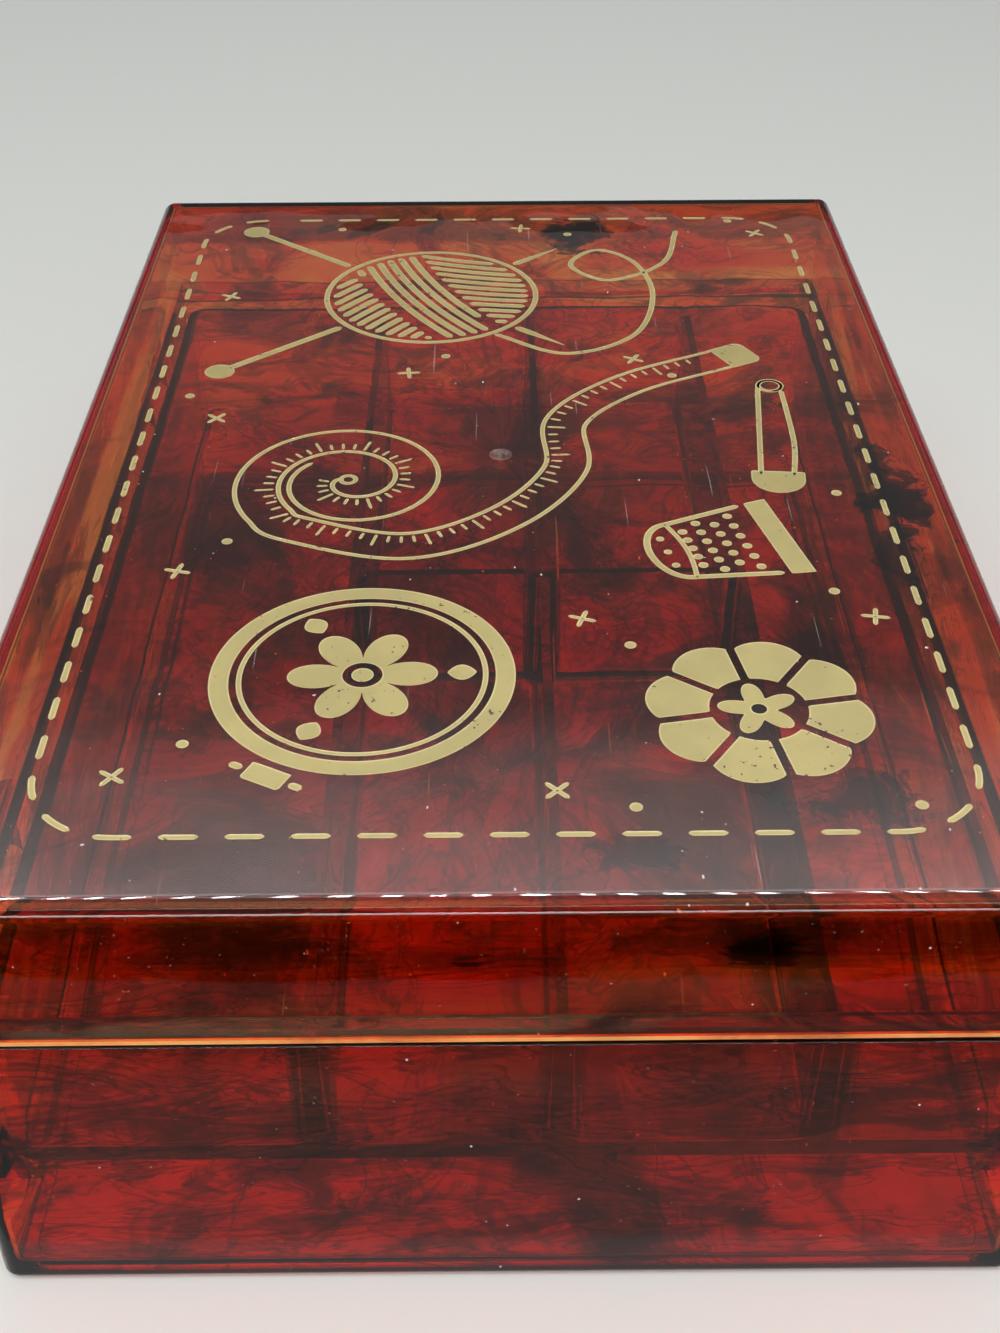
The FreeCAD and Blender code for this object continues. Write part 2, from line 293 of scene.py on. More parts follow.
def marbling(tree, look, shift, spots, redness, cloudiness, foot_shade_height):
    """Tint that the marbling adds to one wall, and its place in the object: amber and red patches,
    brown clouds and wisps, and dark blotches. Painted light makes the lid's top less red and less
    smoky towards its outside; the lid's walls get a band of painted shade and a paler band of
    painted reflection, and the base's foot gets painted shade."""
    place = put(tree, "ShaderNodeTexCoord").outputs["Object"]
    marbled = marbled_place(tree, place, shift, look)
    painted_light_margin, farthest, height = painted_light_margin_share(tree, place)
    hue = noise(tree, marbled, look.patch, 3, 0.55).outputs["Fac"]
    # Painted light: the lid's top turns less red towards its edges.
    hue = maths(tree, "SUBTRACT", hue, maths(tree, "MULTIPLY", painted_light_margin, 0.20))
    hue = maths(tree, "ADD", hue, redness)
    if spots:
        # Painted shade: a deeper, smokier red band high on the lid's walls; painted reflection: a
        # paler band below it.
        deep, pale = shade_and_reflection_bands(tree, height)
        hue = maths(tree, "ADD", hue, maths(tree, "MULTIPLY", deep, 0.30))
    colour = blend_colours(tree, fade(tree, hue, 0.42, 0.54), (1.0, 1.0, 1.0), look.red)
    cloud = noise(tree, marbled, look.cloud, 5, 0.62, 0.5).outputs["Fac"]
    # Painted light: fewer brown clouds towards the edges of the lid's top.
    cloud = maths(tree, "SUBTRACT", cloud, maths(tree, "MULTIPLY", painted_light_margin, 0.085))
    if spots:
        cloud = maths(tree, "ADD", cloud, maths(tree, "MULTIPLY", deep, 0.11))
        cloud = maths(tree, "SUBTRACT", cloud, maths(tree, "MULTIPLY", pale, 0.05))
    colour = blend_colours(tree, fade(tree, cloud, 0.505, 0.60, 0, 0.95 * cloudiness), colour,
                           look.smoke)
    thread = noise(tree, marbled, 0.030, 3, 0.5, 1.2).outputs["Fac"]
    ridge = maths(tree, "ABSOLUTE", maths(tree, "SUBTRACT", thread, 0.5))
    wisp = maths(tree, "MULTIPLY", fade(tree, ridge, 0.028, 0.006), fade(tree, hue, 0.36, 0.50))
    colour = blend_colours(tree, maths(tree, "MULTIPLY", wisp, 0.8 * cloudiness), colour, look.smoke)
    dark = fade(tree, cloud, 0.685, 0.715)
    if spots:
        dark = maths(tree, "MAXIMUM", dark, blots(tree, place, spots))
    if foot_shade_height:
        # Painted shade: the base's outer skin darkens to ink near the floor, for the floor slab and
        # rounded bottom edge seen through the wall.
        low = fade(tree, height, foot_shade_height, 0.7 * foot_shade_height, 0, 0.9)
        foot = maths(tree, "MULTIPLY", low, fade(tree, farthest, 0.965, 0.98))
        dark = maths(tree, "MAXIMUM", dark, foot)
    return blend_colours(tree, dark, colour, look.ink), place


def absorption(tree, look):
    """Even tint of the plastic's depth: the density is that of the most absorbed colour, and
    each colour's share is what is left of it, from the logarithm of what one wall lets through."""
    loss = [-math.log(part) / look.wall for part in look.clear]
    share = [1 - part / max(loss) for part in loss]
    return put(tree, "ShaderNodeVolumeAbsorption", {"Color": (*share, 1), "Density": max(loss)})


def dust_and_scratches(tree, place):
    """Share of pale wear: specks of dust where a fine noise peaks, and hairline scratches where a
    noise drawn out along a slanted line does."""
    speck = noise(tree, place, 0.0012, 0).outputs["Fac"]
    specks = fade(tree, speck, 0.875, 0.90, 0, 0.8)
    slant = put(tree, "ShaderNodeMapping", {
        "Vector": place, "Rotation": (0.5, 0.3, 0.9), "Scale": (42, 1900, 1900)}).outputs[0]
    line = put(tree, "ShaderNodeTexNoise", {
        "Vector": slant, "Scale": 1.0, "Detail": 0.0, "Distortion": 0.2}).outputs["Fac"]
    return maths(tree, "MAXIMUM", specks, fade(tree, line, 0.84, 0.88, 0, 0.22))


def gate_roughness(tree, place, look):
    """Roughness that is higher in the broken-off gate in the middle of the lid."""
    away = vectors(tree, "DISTANCE", place, (GATE_X, MIDDLE_Y, LID_TOP)).outputs["Value"]
    return fade(tree, away, 2.6 * MM, 2.2 * MM, look.roughness, 0.45)


def painted_edge_glow(tree, place):
    """Share of the painted glow on the lid's lower edge, from the bottom up to a sloping line a
    little
    above it: a bright colour that stands in for the light that the walls carry down. It varies along
    the edge."""
    parts = put(tree, "ShaderNodeSeparateXYZ", {0: place})
    slope = (SEAM_FRONT - SEAM_REAR) / BOX_DEPTH
    level = maths(tree, "MULTIPLY_ADD", parts.outputs["Y"], slope)
    level.node.inputs[2].default_value = -SEAM_REAR + slope * -(FRONT_Y + BOX_DEPTH)
    over = maths(tree, "ADD", parts.outputs["Z"], level)
    strength = fade(tree, noise(tree, place, 0.02, 4, 0.6).outputs["Fac"], 0.30, 0.62, 0.35, 0.95)
    return maths(tree, "MULTIPLY", fade(tree, over, 1.35 * MM, 1.05 * MM), strength)


def tortoiseshell(name, look, shift, spots, redness, cloudiness, foot_shade_height):
    """Polished marbled plastic: glass with a patterned tint that also lets lamps through."""
    material, tree, output = new_material(name)
    colour, place = marbling(tree, look, shift, spots, redness, cloudiness, foot_shade_height)
    ripple = noise(tree, place, 0.045, 2).outputs["Fac"]
    bump = put(tree, "ShaderNodeBump", {"Height": ripple, "Strength": 1.0, "Distance": 0.00035})
    glass = put(tree, "ShaderNodeBsdfPrincipled", {
        "Base Color": colour, "Roughness": gate_roughness(tree, place, look), "IOR": look.bend,
        "Transmission Weight": 1.0, "Normal": bump.outputs[0]})
    worn = put(tree, "ShaderNodeBsdfPrincipled", {
        "Base Color": (0.80, 0.74, 0.70, 1), "Roughness": 0.7})
    surface = put(tree, "ShaderNodeMixShader", {
        0: dust_and_scratches(tree, place), 1: glass.outputs[0], 2: worn.outputs[0]}).outputs[0]
    if spots:
        # Painted glow on the lid's lower edge: a bright orange finish that stands in for light the
        # walls carry down.
        painted_glow_finish = put(tree, "ShaderNodeBsdfPrincipled", {
            "Base Color": (*look.glow, 1), "Roughness": 0.3})
        surface = put(tree, "ShaderNodeMixShader", {
            0: painted_edge_glow(tree, place), 1: surface, 2: painted_glow_finish.outputs[0]}).outputs[0]
    thin = put(tree, "ShaderNodeGamma", {"Color": colour, "Gamma": 0.5}).outputs[0]
    open_way = put(tree, "ShaderNodeBsdfTransparent", {"Color": thin})
    lamps = put(tree, "ShaderNodeLightPath").outputs["Is Shadow Ray"]
    mix = put(tree, "ShaderNodeMixShader", {0: lamps, 1: surface, 2: open_way.outputs[0]})
    tree.links.new(mix.outputs[0], output.inputs["Surface"])
    tree.links.new(absorption(tree, look).outputs[0], output.inputs["Volume"])
    return material


def bright_wire(name):
    """Drawn steel wire with fine marks along its length."""
    material, tree, output = new_material(name)
    place = put(tree, "ShaderNodeTexCoord").outputs["Object"]
    along = put(tree, "ShaderNodeMapping", {"Vector": place, "Scale": (60, 4000, 4000)}).outputs[0]
    marks = put(tree, "ShaderNodeTexNoise", {"Vector": along, "Scale": 1.0}).outputs["Fac"]
    colour = blend_colours(tree, marks, (0.50, 0.49, 0.47), (0.66, 0.65, 0.63))
    metal = put(tree, "ShaderNodeBsdfPrincipled", {
        "Base Color": colour, "Metallic": 1.0, "Roughness": 0.28})
    tree.links.new(metal.outputs[0], output.inputs["Surface"])
    return material


# Pieces

def merged_copy(node, name, material):
    """Copy of a CAD node with its loose triangles joined and its round edges shaded smooth."""
    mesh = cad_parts[node].data.copy()
    mesh.name = name
    shape = bmesh.new()
    shape.from_mesh(mesh)
    bmesh.ops.remove_doubles(shape, verts=shape.verts, dist=2e-6)
    shape.to_mesh(mesh)
    shape.free()
    mesh.shade_smooth()
    mesh.set_sharp_from_angle(angle=math.radians(32))
    mesh.materials.clear()
    mesh.materials.append(material)
    piece = bpy.data.objects.new(name, mesh)
    bpy.context.scene.collection.objects.link(piece)
    even = piece.modifiers.new("Even shading", "WEIGHTED_NORMAL")
    even.weight = 50
    even.keep_sharp = True
    return piece


class MakeShells(bpy.types.Operator):
    """Cast the base, the lid and the lift-out tray in marbled plastic"""
    bl_idname = "sewing_box.shells"
    bl_label = "Base, lid and tray"

    def execute(self, context):
        look = context.scene.box_plastic
        # The last number of each row is the height of the painted shade at the base's foot.
        for node, body, slot, *pattern in (
                ("base_shell", "base", "base_plastic", (0.31, 0.17, 0.05), (), 0.07, 1.0, 4.6 * MM),
                ("lid_shell", "lid", "lid_plastic", (0.55, 0.85, 0.20), LID_BLOTS, 0.0, 0.85, 0),
                ("lift_out_tray", "tray", "tray_plastic", (0.73, 0.44, 0.21), (), -0.02, 0.45, 0)):
            material = tortoiseshell("Tortoiseshell " + node.replace("_", " "), look, *pattern)
            piece = merged_copy(node, "moulded_" + node, material)
            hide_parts(node)
            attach(piece, body)
        return {"FINISHED"}


class MakePins(bpy.types.Operator):
    """Give the hinge pins the look of drawn wire"""
    bl_idname = "sewing_box.pins"
    bl_label = "Hinge pins"

    def execute(self, context):
        wire = bright_wire("Bright wire")
        for node in ("left_hinge_pin", "right_hinge_pin"):
            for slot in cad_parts[node].material_slots:
                slot.material = wire
        return {"FINISHED"}


# Gold print on the lid

class Foil:
    """Collects the foil shapes of one motif, drawn in millimetres around its own middle."""

    def __init__(self, look, place=(0.0, 0.0), turn=0.0, scale=1.0):
        self.look = look
        self.place = np.array(place)
        self.turn = math.radians(turn)
        self.scale = scale
        self.points = []
        self.faces = []
        self.finishes = []
        self.count = 0

    def add(self, points, faces, finishes):
        """Keep a shape's points (x, y, height), faces and the finish of each face."""
        self.points.append(points)
        self.faces += [tuple(int(i) + self.count for i in face) for face in faces]
        self.finishes += list(finishes)
        self.count += len(points)

    def band(self, left, right, closed=False):
        """Strip of foil between two edges: six points across, at shares of the way over, are
        carried along; the outer fifth of a millimetre stands a little higher as a rim, coloured
        paler as a painted highlight."""
        across = right - left
        width = np.linalg.norm(across, axis=1, keepdims=True)
        rim = np.minimum(self.look.rim / MM, 0.3 * width) / np.maximum(width, 1e-6)
        zero = np.zeros_like(rim)
        shares = np.stack((zero, zero, rim, 1 - rim, zero + 1, zero + 1), 1)
        flat = left[:, None, :] + shares * across[:, None, :]
        heights = self.look.thickness / MM * np.array((0.0, 1.0, 0.55, 0.55, 1.0, 0.0))
        tall = np.broadcast_to(heights[None, :, None], (*flat.shape[:2], 1))
        points = np.concatenate((flat, tall), -1).reshape(-1, 3)
        rows = len(left)
        here = np.arange(rows if closed else rows - 1)[:, None]
        column = np.arange(6)[None, :]
        ahead = (here + 1) % rows
        beside = (column + 1) % 6
        quads = np.stack(np.broadcast_arrays(
            here * 6 + column, here * 6 + beside, ahead * 6 + beside, ahead * 6 + column), -1)
        finishes = np.broadcast_to(np.array((1, 1, 0, 1, 1, 0)), quads.shape[:2]).reshape(-1)
        faces = quads.reshape(-1, 4).tolist()
        if not closed:
            last = (rows - 1) * 6
            faces += [tuple(range(5, -1, -1)), tuple(range(last, last + 6))]
            finishes = [*finishes, 1, 1]
        self.add(points, faces, finishes)

    def stroke(self, path, width, closed=False, step=0.8):
        """Line of foil with round ends along a path: the half width is scaled by the height of
        a half circle over each end."""
        path = evenly(path, step, closed)
        along = np.gradient(path, axis=0) if not closed else (
            np.roll(path, -1, 0) - np.roll(path, 1, 0))
        along /= np.maximum(np.linalg.norm(along, axis=1, keepdims=True), 1e-9)
        side = np.stack((-along[:, 1], along[:, 0]), -1)
        half = np.broadcast_to(np.asarray(width, float) / 2, (len(path),)).copy()
        if not closed:
            gone = np.append(0, np.cumsum(np.linalg.norm(np.diff(path, axis=0), axis=1)))
            near = np.minimum(gone, gone[-1] - gone)
            end = np.maximum(half, 1e-6)
            half *= np.sqrt(np.clip(1 - np.clip(1 - near / end, 0, 0.97) ** 2, 0.05, 1))
        self.band(path + side * half[:, None], path - side * half[:, None], closed)

    def plate(self, outline):
        """Filled shape: a bottom face, the edge, a raised rim inset along the outline's normals,
        and the top face inside it. The outline runs anticlockwise."""
        along = np.roll(outline, -1, 0) - np.roll(outline, 1, 0)
        along /= np.maximum(np.linalg.norm(along, axis=1, keepdims=True), 1e-9)
        inward = np.stack((-along[:, 1], along[:, 0]), -1)
        inner = outline + inward * self.look.rim / MM
        high = self.look.thickness / MM
        rings = [np.column_stack((ring, np.full(len(ring), height)))
                 for ring, height in ((outline, 0), (outline, high), (inner, 0.55 * high))]
        size = len(outline)
        here = np.arange(size)
        ahead = (here + 1) % size
        faces = []
        for low in (0, size):
            faces += np.stack((here + low, ahead + low, ahead + low + size,
                               here + low + size), -1).tolist()
        faces += [tuple(reversed(range(size))), tuple(range(2 * size, 3 * size))]
        self.add(np.concatenate(rings), faces, [1] * (2 * size) + [0, 0])

    def piece(self, name):
        """Turn, scale and move the motif on to the lid's top and make it one piece."""
        points = np.concatenate(self.points)
        cosine, sine = math.cos(self.turn), math.sin(self.turn)
        turn = np.array(((cosine, -sine), (sine, cosine)))
        flat = points[:, :2] @ turn.T * self.scale + self.place
        lifted = points[:, 2] * MM + LID_TOP + self.look.gap
        placed = np.column_stack((flat * MM + (0, MIDDLE_Y), lifted))
        mesh = bpy.data.meshes.new(name)
        mesh.from_pydata(placed.tolist(), [], self.faces)
        mesh.materials.append(foil_material(self.look))
        mesh.materials.append(rim_highlight_material(self.look))
        mesh.polygons.foreach_set("material_index", np.array(self.finishes, dtype=np.int32))
        shape = bmesh.new()
        shape.from_mesh(mesh)
        bmesh.ops.recalc_face_normals(shape, faces=shape.faces)
        shape.to_mesh(mesh)
        shape.free()
        made = bpy.data.objects.new(name, mesh)
        bpy.context.scene.collection.objects.link(made)
        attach(made, "lid")
        return made


def evenly(path, step, closed=False):
    """The same path with points an equal way apart, by interpolation on its running length."""
    path = np.asarray(path, float)
    if closed:
        path = np.vstack((path, path[:1]))
    gone = np.append(0, np.cumsum(np.linalg.norm(np.diff(path, axis=0), axis=1)))
    count = max(int(gone[-1] / step), 6) + 1
    wanted = np.linspace(0, gone[-1], count)
    even = np.column_stack([np.interp(wanted, gone, path[:, axis]) for axis in (0, 1)])
    return even[:-1] if closed else even


def through(knots, fineness=24):
    """Smooth curve through the knots: each span is the cubic that leaves a knot in the direction
    from the one before to the one after."""
    knots = np.asarray(knots, float)
    padded = np.vstack((2 * knots[0] - knots[1], knots, 2 * knots[-1] - knots[-2]))
    t = np.linspace(0, 1, fineness, endpoint=False)[None, :, None]
    a, b, c, d = (padded[i:len(padded) - 3 + i, None, :] for i in range(4))
    spans = 0.5 * (2 * b + (c - a) * t + (2 * a - 5 * b + 4 * c - d) * t ** 2
                   + (3 * b - a - 3 * c + d) * t ** 3)
    return np.vstack((spans.reshape(-1, 2), knots[-1:]))


def ring(radius, centre=(0, 0), count=64, start=0.0, sweep=2 * math.pi, flatten=1.0):
    """Points on a circle or ellipse, or on an arc of one when the sweep is less than a turn."""
    whole = abs(sweep) > 2 * math.pi - 1e-6
    angle = start + np.linspace(0, sweep, count, endpoint=not whole)
    return np.column_stack((centre[0] + radius * np.cos(angle),
                            centre[1] + flatten * radius * np.sin(angle)))


def inside_runs(path, keep):
    """The stretches of a path whose points are kept, as separate paths."""
    edges = np.flatnonzero(np.diff(np.concatenate(([0], keep.astype(int), [0]))))
    return [path[a:b] for a, b in zip(edges[::2], edges[1::2]) if b - a > 8]


def stitched_border(look):
    """Row of stitches round the lid: dashes along a rectangle with round corners."""
    foil = Foil(look)
    half_x, half_y, radius = 118.0, 74.5, 15.0
    corners = [ring(radius, (x * (half_x - radius), y * (half_y - radius)), 16,
                    math.pi / 2 * quarter, math.pi / 2)
               for quarter, (x, y) in enumerate(((1, 1), (-1, 1), (-1, -1), (1, -1)))]
    line = evenly(np.vstack(corners), 0.5, True)
    stitch, gap = 13, 7
    for start in range(0, len(line) - stitch, stitch + gap):
        foil.stroke(line[start:start + stitch], 1.15, step=0.6)
    foil.piece("print_stitched_border")


def wool_ball(look):
    """Ball of wool: strands are bowed lines at three slants, each kept to its own part of a
    circle, with two knitting needles behind and a loose end that winds away in a loop."""
    foil = Foil(look, (72, 16))
    radius = 25.0
    foil.stroke(ring(radius, count=140), 1.3, closed=True)
    t = np.linspace(-1, 1, 400)
    for slant, low, high in ((28, -7.5, 8.5), (-46, 8.5, 60), (74, -60, -7.5)):
        angle = math.radians(slant)
        for offset in np.arange(-27, 28, 2.9):
            x = radius * 1.1 * t
            y = offset + 3.2 * (1 - t ** 2)
            path = np.column_stack((x * math.cos(angle) - y * math.sin(angle),
                                    x * math.sin(angle) + y * math.cos(angle)))
            lift = -path[:, 0] * math.sin(math.radians(28)) + path[:, 1] * math.cos(
                math.radians(28)) - 2.6 * (1 - (path[:, 0] / radius) ** 2)
            keep = (np.hypot(*path.T) < radius - 1.7) & (lift > low + 0.9) & (lift < high - 0.9)
            for run in inside_runs(path, keep):
                foil.stroke(run, 1.75)
    for side in (-1, 1):
        tip, head = np.array((-27.0 * side, -31.0)), np.array((37.0 * side, 44.0))
        line = tip + np.linspace(0, 1, 400)[:, None] * (head - tip)
        away = np.hypot(*line.T)
        behind = (side < 0) | (np.abs(line[:, 0]) > 3.2) | (away < radius)
        for run in inside_runs(line, (away > radius + 1.5) & behind):
            share = np.linalg.norm(evenly(run, 0.8) - tip, axis=1)
            foil.stroke(run, np.clip(0.25 + share * 0.16, 0, 1.9))
        foil.plate(ring(3.3, head + (head - tip) / np.linalg.norm(head - tip) * 2.6, 28))
    loose = through(((-21, -15), (-31, -31), (-22, -47), (-1, -53), (18, -50), (26, -41),
                     (17, -34), (8, -43), (18, -57), (38, -62)))
    foil.stroke(loose, 1.3)
    foil.piece("print_wool_ball")


def tape_measure(look):
    """Tape measure: two edges carried either side of a spiral that runs out in a wave, ticks at
    even steps between them, every fourth one longer, and a metal tip."""
    foil = Foil(look, (-14, 30))
    half = 4.3
    turn = np.linspace(0, 2.55 * math.pi, 24)
    spiral = np.column_stack((np.cos(turn + 0.9), np.sin(turn + 0.9))) * (
        6.5 + 10.8 * turn / (2 * math.pi))[:, None]
    tail = ((-24, -12), (-14, -31), (4, -43), (24, -44), (40, -58), (52, -80))
    path = evenly(through(np.vstack((spiral, tail))), 0.7)
    along = np.gradient(path, axis=0)
    along /= np.linalg.norm(along, axis=1, keepdims=True)
    side = np.stack((-along[:, 1], along[:, 0]), -1)
    for way in (-1, 1):
        foil.stroke(path + way * half * side, 1.0)
    for index in range(6, len(path) - 10, 4):
        reach = 3.9 if index // 4 % 4 == 0 else 2.3
        start = path[index] + (half - 0.9) * side[index]
        foil.stroke(np.stack((start, start - reach * side[index])), 0.62, step=0.35)
    end = path[-1] + np.outer((-0.4, -0.4, 6.5, 7.6, 7.6, 6.5), along[-1])
    end = end + np.outer((half + 0.6, -half - 0.6, -half - 0.6, -half + 0.8, half - 0.8,
                          half + 0.6), side[-1])
    foil.plate(evenly(end, 0.8, True))
    foil.stroke(ring(1.5, spiral[0] * 0.1, 24), 1.0, closed=True, step=0.4)
    foil.piece("print_tape_measure")


def thimble(look):
    """Thimble: sides that lean in to a domed top, a solid band and rows of dimples."""
    foil = Foil(look, (-38, -42), 14)
    low, high, wide, narrow = -13.0, 9.0, 12.0, 9.2
    dome = ring(narrow, (0, high), 40, 0, math.pi, 0.62)
    sides = np.vstack(((wide, low + 5.8), dome, (-wide, low + 5.8)))
    foil.stroke(sides, 1.35)
    foil.stroke(np.column_stack((np.linspace(-narrow - 0.4, narrow + 0.4, 40), np.full(40, high)
                                 - 1.4 * np.cos(np.linspace(-1.5, 1.5, 40)))), 1.0)
    base = [(-wide - 1.2, low), (wide + 1.2, low), (wide + 0.6, low + 4.6),
            (-wide - 0.6, low + 4.6)]
    foil.plate(evenly(base, 0.9, True))
    for row in range(4):
        height = low + 9.2 + 3.4 * row
        reach = wide - 3.0 - 0.45 * row
        count = 6 - row % 2
        for x in np.linspace(-reach, reach, count) if row % 2 == 0 else np.linspace(
                -reach + 1.8, reach - 1.8, count):
            foil.plate(ring(0.95, (x, height), 14))
    for x in (-4.6, 0, 4.6):
        foil.plate(ring(0.8, (x, high + 2.3), 14))
    foil.piece("print_thimble")


def embroidery_hoop(look):
    """Hoop: two rings, a tightening screw, and a flower whose petals follow a squared sine."""
    foil = Foil(look, (-78, 24), 62)
    foil.band(ring(26, count=120), ring(22.6, count=120), closed=True)
    foil.stroke(ring(20.9, count=120), 0.95, closed=True)
    foil.plate(evenly([(-3.6, 27.4), (3.6, 27.4), (3.6, 31.6), (-3.6, 31.6)], 0.9, True))
    foil.stroke(np.array(((-6.8, 29.5), (-4.4, 29.5))), 1.5)
    foil.stroke(np.array(((4.4, 29.5), (6.8, 29.5))), 1.5)
    angle = np.linspace(0, 2 * math.pi, 180, endpoint=False)
    reach = 4.6 + 8.2 * np.abs(np.sin(3 * angle)) ** 0.75
    outer = np.column_stack((reach * np.cos(angle), reach * np.sin(angle)))
    foil.band(outer, ring(3.4, count=180), closed=True)
    foil.plate(ring(1.9, count=26))
    for leaf in range(3):
        way = math.radians(120 * leaf + 90)
        t = np.linspace(0, 1, 24)
        middle = 14.4 + 5.0 * t
        swell = 2.1 * np.sin(math.pi * t) ** 0.8
        edge = np.vstack((np.column_stack((middle, -swell)),
                          np.column_stack((middle[::-1], swell[::-1]))[1:-1]))
        turn = np.array(((math.cos(way), -math.sin(way)), (math.sin(way), math.cos(way))))
        foil.plate(edge @ turn.T)
    foil.piece("print_embroidery_hoop")


def pincushion(look):
    """Round pincushion from above: eight swelling segments round a five-pointed leaf."""
    foil = Foil(look, (-88, -42), 10)
    for segment in range(8):
        middle = 2 * math.pi * (segment + 0.5) / 8
        t = np.linspace(-1, 1, 30)
        spread = math.pi / 8 - 0.045
        outer = 17.0 + 1.9 * (1 - t ** 2)
        inner = np.full(30, 8.2)
        spread_in = math.pi / 8 - 0.09
        rim = np.column_stack((outer * np.cos(middle + spread * t), outer * np.sin(
            middle + spread * t)))
        core = np.column_stack((inner * np.cos(middle - spread_in * t), inner * np.sin(
            middle - spread_in * t)))
        foil.plate(evenly(np.vstack((rim, core)), 0.8, True))
    angle = np.linspace(0, 2 * math.pi, 100, endpoint=False)
    reach = 3.0 + 3.9 * np.abs(np.cos(2.5 * angle)) ** 1.6
    foil.band(np.column_stack((reach * np.cos(angle), reach * np.sin(angle))),
              ring(1.3, count=100), closed=True)
    foil.piece("print_pincushion")


def safety_pin(look):
    """Closed safety pin: two bars that meet in a coiled loop, and a cap over the point."""
    foil = Foil(look, (4, -57), -5)
    coil = ring(2.5, (21, 0), 40, math.pi / 2, -2 * math.pi * 0.999)
    foil.stroke(np.vstack(((-17, 3.4), (18, 2.7), coil[1:30])), 1.15)
    foil.stroke(through(((-17, -3.2), (-5, -3.9), (8, -3.2), (19, -2.3))), 1.15)
    foil.stroke(ring(2.5, (21, 0), 44), 1.1, closed=True, step=0.5)
    foil.plate(evenly(np.vstack((ring(5.4, (-18.5, 0), 30, math.pi / 2, math.pi, 1.0),
                                 ((-15.6, -5.4), (-15.6, 5.4)))), 0.8, True))
    foil.piece("print_safety_pin")


def scattered_stitches(look):
    """Cross-stitches and small knots strewn between the motifs."""
    foil = Foil(look)
    for x, y, turn in ((-104, 62, 10), (-46, 60, 30), (12, 60, 5), (72, 64, 20), (112, -6, 40),
                       (38, -30, 15), (-62, -14, 25), (-108, -8, 0), (-62, -66, 35),
                       (108, -66, 10), (32, 20, 50)):
        for slant in (45, -45):
            angle = math.radians(turn + slant)
            arm = 2.6 * np.array((math.cos(angle), math.sin(angle)))
            foil.stroke(np.stack(((x, y) - arm, (x, y) + arm)), 0.9, step=0.5)
    for x, y in ((-96, 52), (-36, 52), (22, 67), (112, 40), (108, -18), (30, -38), (-70, -22),
                 (-112, -20), (-54, -60), (116, -60), (40, 12), (-20, -66), (-112, -64)):
        foil.plate(ring(1.05, (x, y), 16))
    foil.piece("print_scattered_stitches")


def foil_finish(name, pale, deep, look):
    """Satin metal foil with pinholes: short dark flecks where a fine noise peaks."""
    if name in bpy.data.materials:
        return bpy.data.materials[name]
    material, tree, output = new_material(name)
    place = put(tree, "ShaderNodeTexCoord").outputs["Object"]
    tone = noise(tree, place, 0.012, 4).outputs["Fac"]
    colour = blend_colours(tree, fade(tree, tone, 0.35, 0.65), deep, pale)
    hole = noise(tree, place, 0.0011, 2, 0.5).outputs["Fac"]
    worn = noise(tree, place, 0.020, 3).outputs["Fac"]
    need = fade(tree, worn, 0.40, 0.66, 0.745, 0.665)
    over = maths(tree, "SUBTRACT", hole, need)
    colour = blend_colours(tree, fade(tree, over, 0.0, 0.02), colour, look.bare)
    metal = put(tree, "ShaderNodeBsdfPrincipled", {
        "Base Color": colour, "Metallic": look.metallic, "Roughness": look.roughness})
    tree.links.new(metal.outputs[0], output.inputs["Surface"])
    return material


def foil_material(look):
    """The foil's broad faces."""
    return foil_finish("Gold foil", look.gold, [0.88 * part for part in look.gold], look)


def rim_highlight_material(look):
    """The foil's pressed edge, which is paler: a painted highlight."""
    return foil_finish("Gold foil edge highlight", look.edge, [0.92 * part for part in look.edge], look)


class MakePrint(bpy.types.Operator):
    """Stamp the gold sewing motifs on the lid"""
    bl_idname = "sewing_box.gold_print"
    bl_label = "Gold print"

    def execute(self, context):
        look = context.scene.box_print
        for motif in (stitched_border, wool_ball, tape_measure, thimble, embroidery_hoop,
                      pincushion, safety_pin, scattered_stitches):
            motif(look)
        return {"FINISHED"}


# Stage

def to_model(vector):
    """Turn a direction from the photographer's axes, y away from the lens, to the box's axes."""
    return Vector((vector[1], -vector[0], vector[2]))


def camera_axes(down, turn, roll):
    """Camera's right, up and backward directions from its tilt, turn and roll."""
    ahead = np.array((-math.sin(turn) * math.cos(down), math.cos(turn) * math.cos(down),
                      -math.sin(down)))
    right = np.array((math.cos(turn), math.sin(turn), 0.0))
    below = np.cross(ahead, right)
    rolled_right = math.cos(roll) * right + math.sin(roll) * below
    rolled_below = -math.sin(roll) * right + math.cos(roll) * below
    return [to_model(axis) for axis in (rolled_right, -rolled_below, -ahead)]


def make_camera(sizes):
    """Camera where the photographer's lens was."""
    camera = bpy.data.cameras.new("Camera")
    camera.lens = sizes.lens
    camera.sensor_width = 36
    camera.clip_start = 0.01
    camera.clip_end = 100
    holder = bpy.data.objects.new("Camera", camera)
    turn = Matrix(camera_axes(sizes.camera_down, sizes.camera_turn, sizes.camera_roll))
    turn = turn.transposed().to_4x4()
    holder.matrix_world = Matrix.Translation(Vector(sizes.camera_place)) @ turn
    bpy.context.scene.collection.objects.link(holder)
    bpy.context.scene.camera = holder


def sheet(name, centre, size_x, size_y, material):
    """Flat rectangle that faces up, as a stage piece: x and y on a grid of two by two."""
    u, v = np.meshgrid((-0.5, 0.5), (-0.5, 0.5))
    points = np.stack((centre[0] + size_x * u, centre[1] + size_y * v,
                       np.full_like(u, centre[2])), -1).reshape(-1, 3)
    mesh = bpy.data.meshes.new(name)
    mesh.from_pydata(points.tolist(), [], [(0, 1, 3, 2)])
    mesh.materials.append(material)
    piece = bpy.data.objects.new(name, mesh)
    bpy.context.scene.collection.objects.link(piece)
    return piece


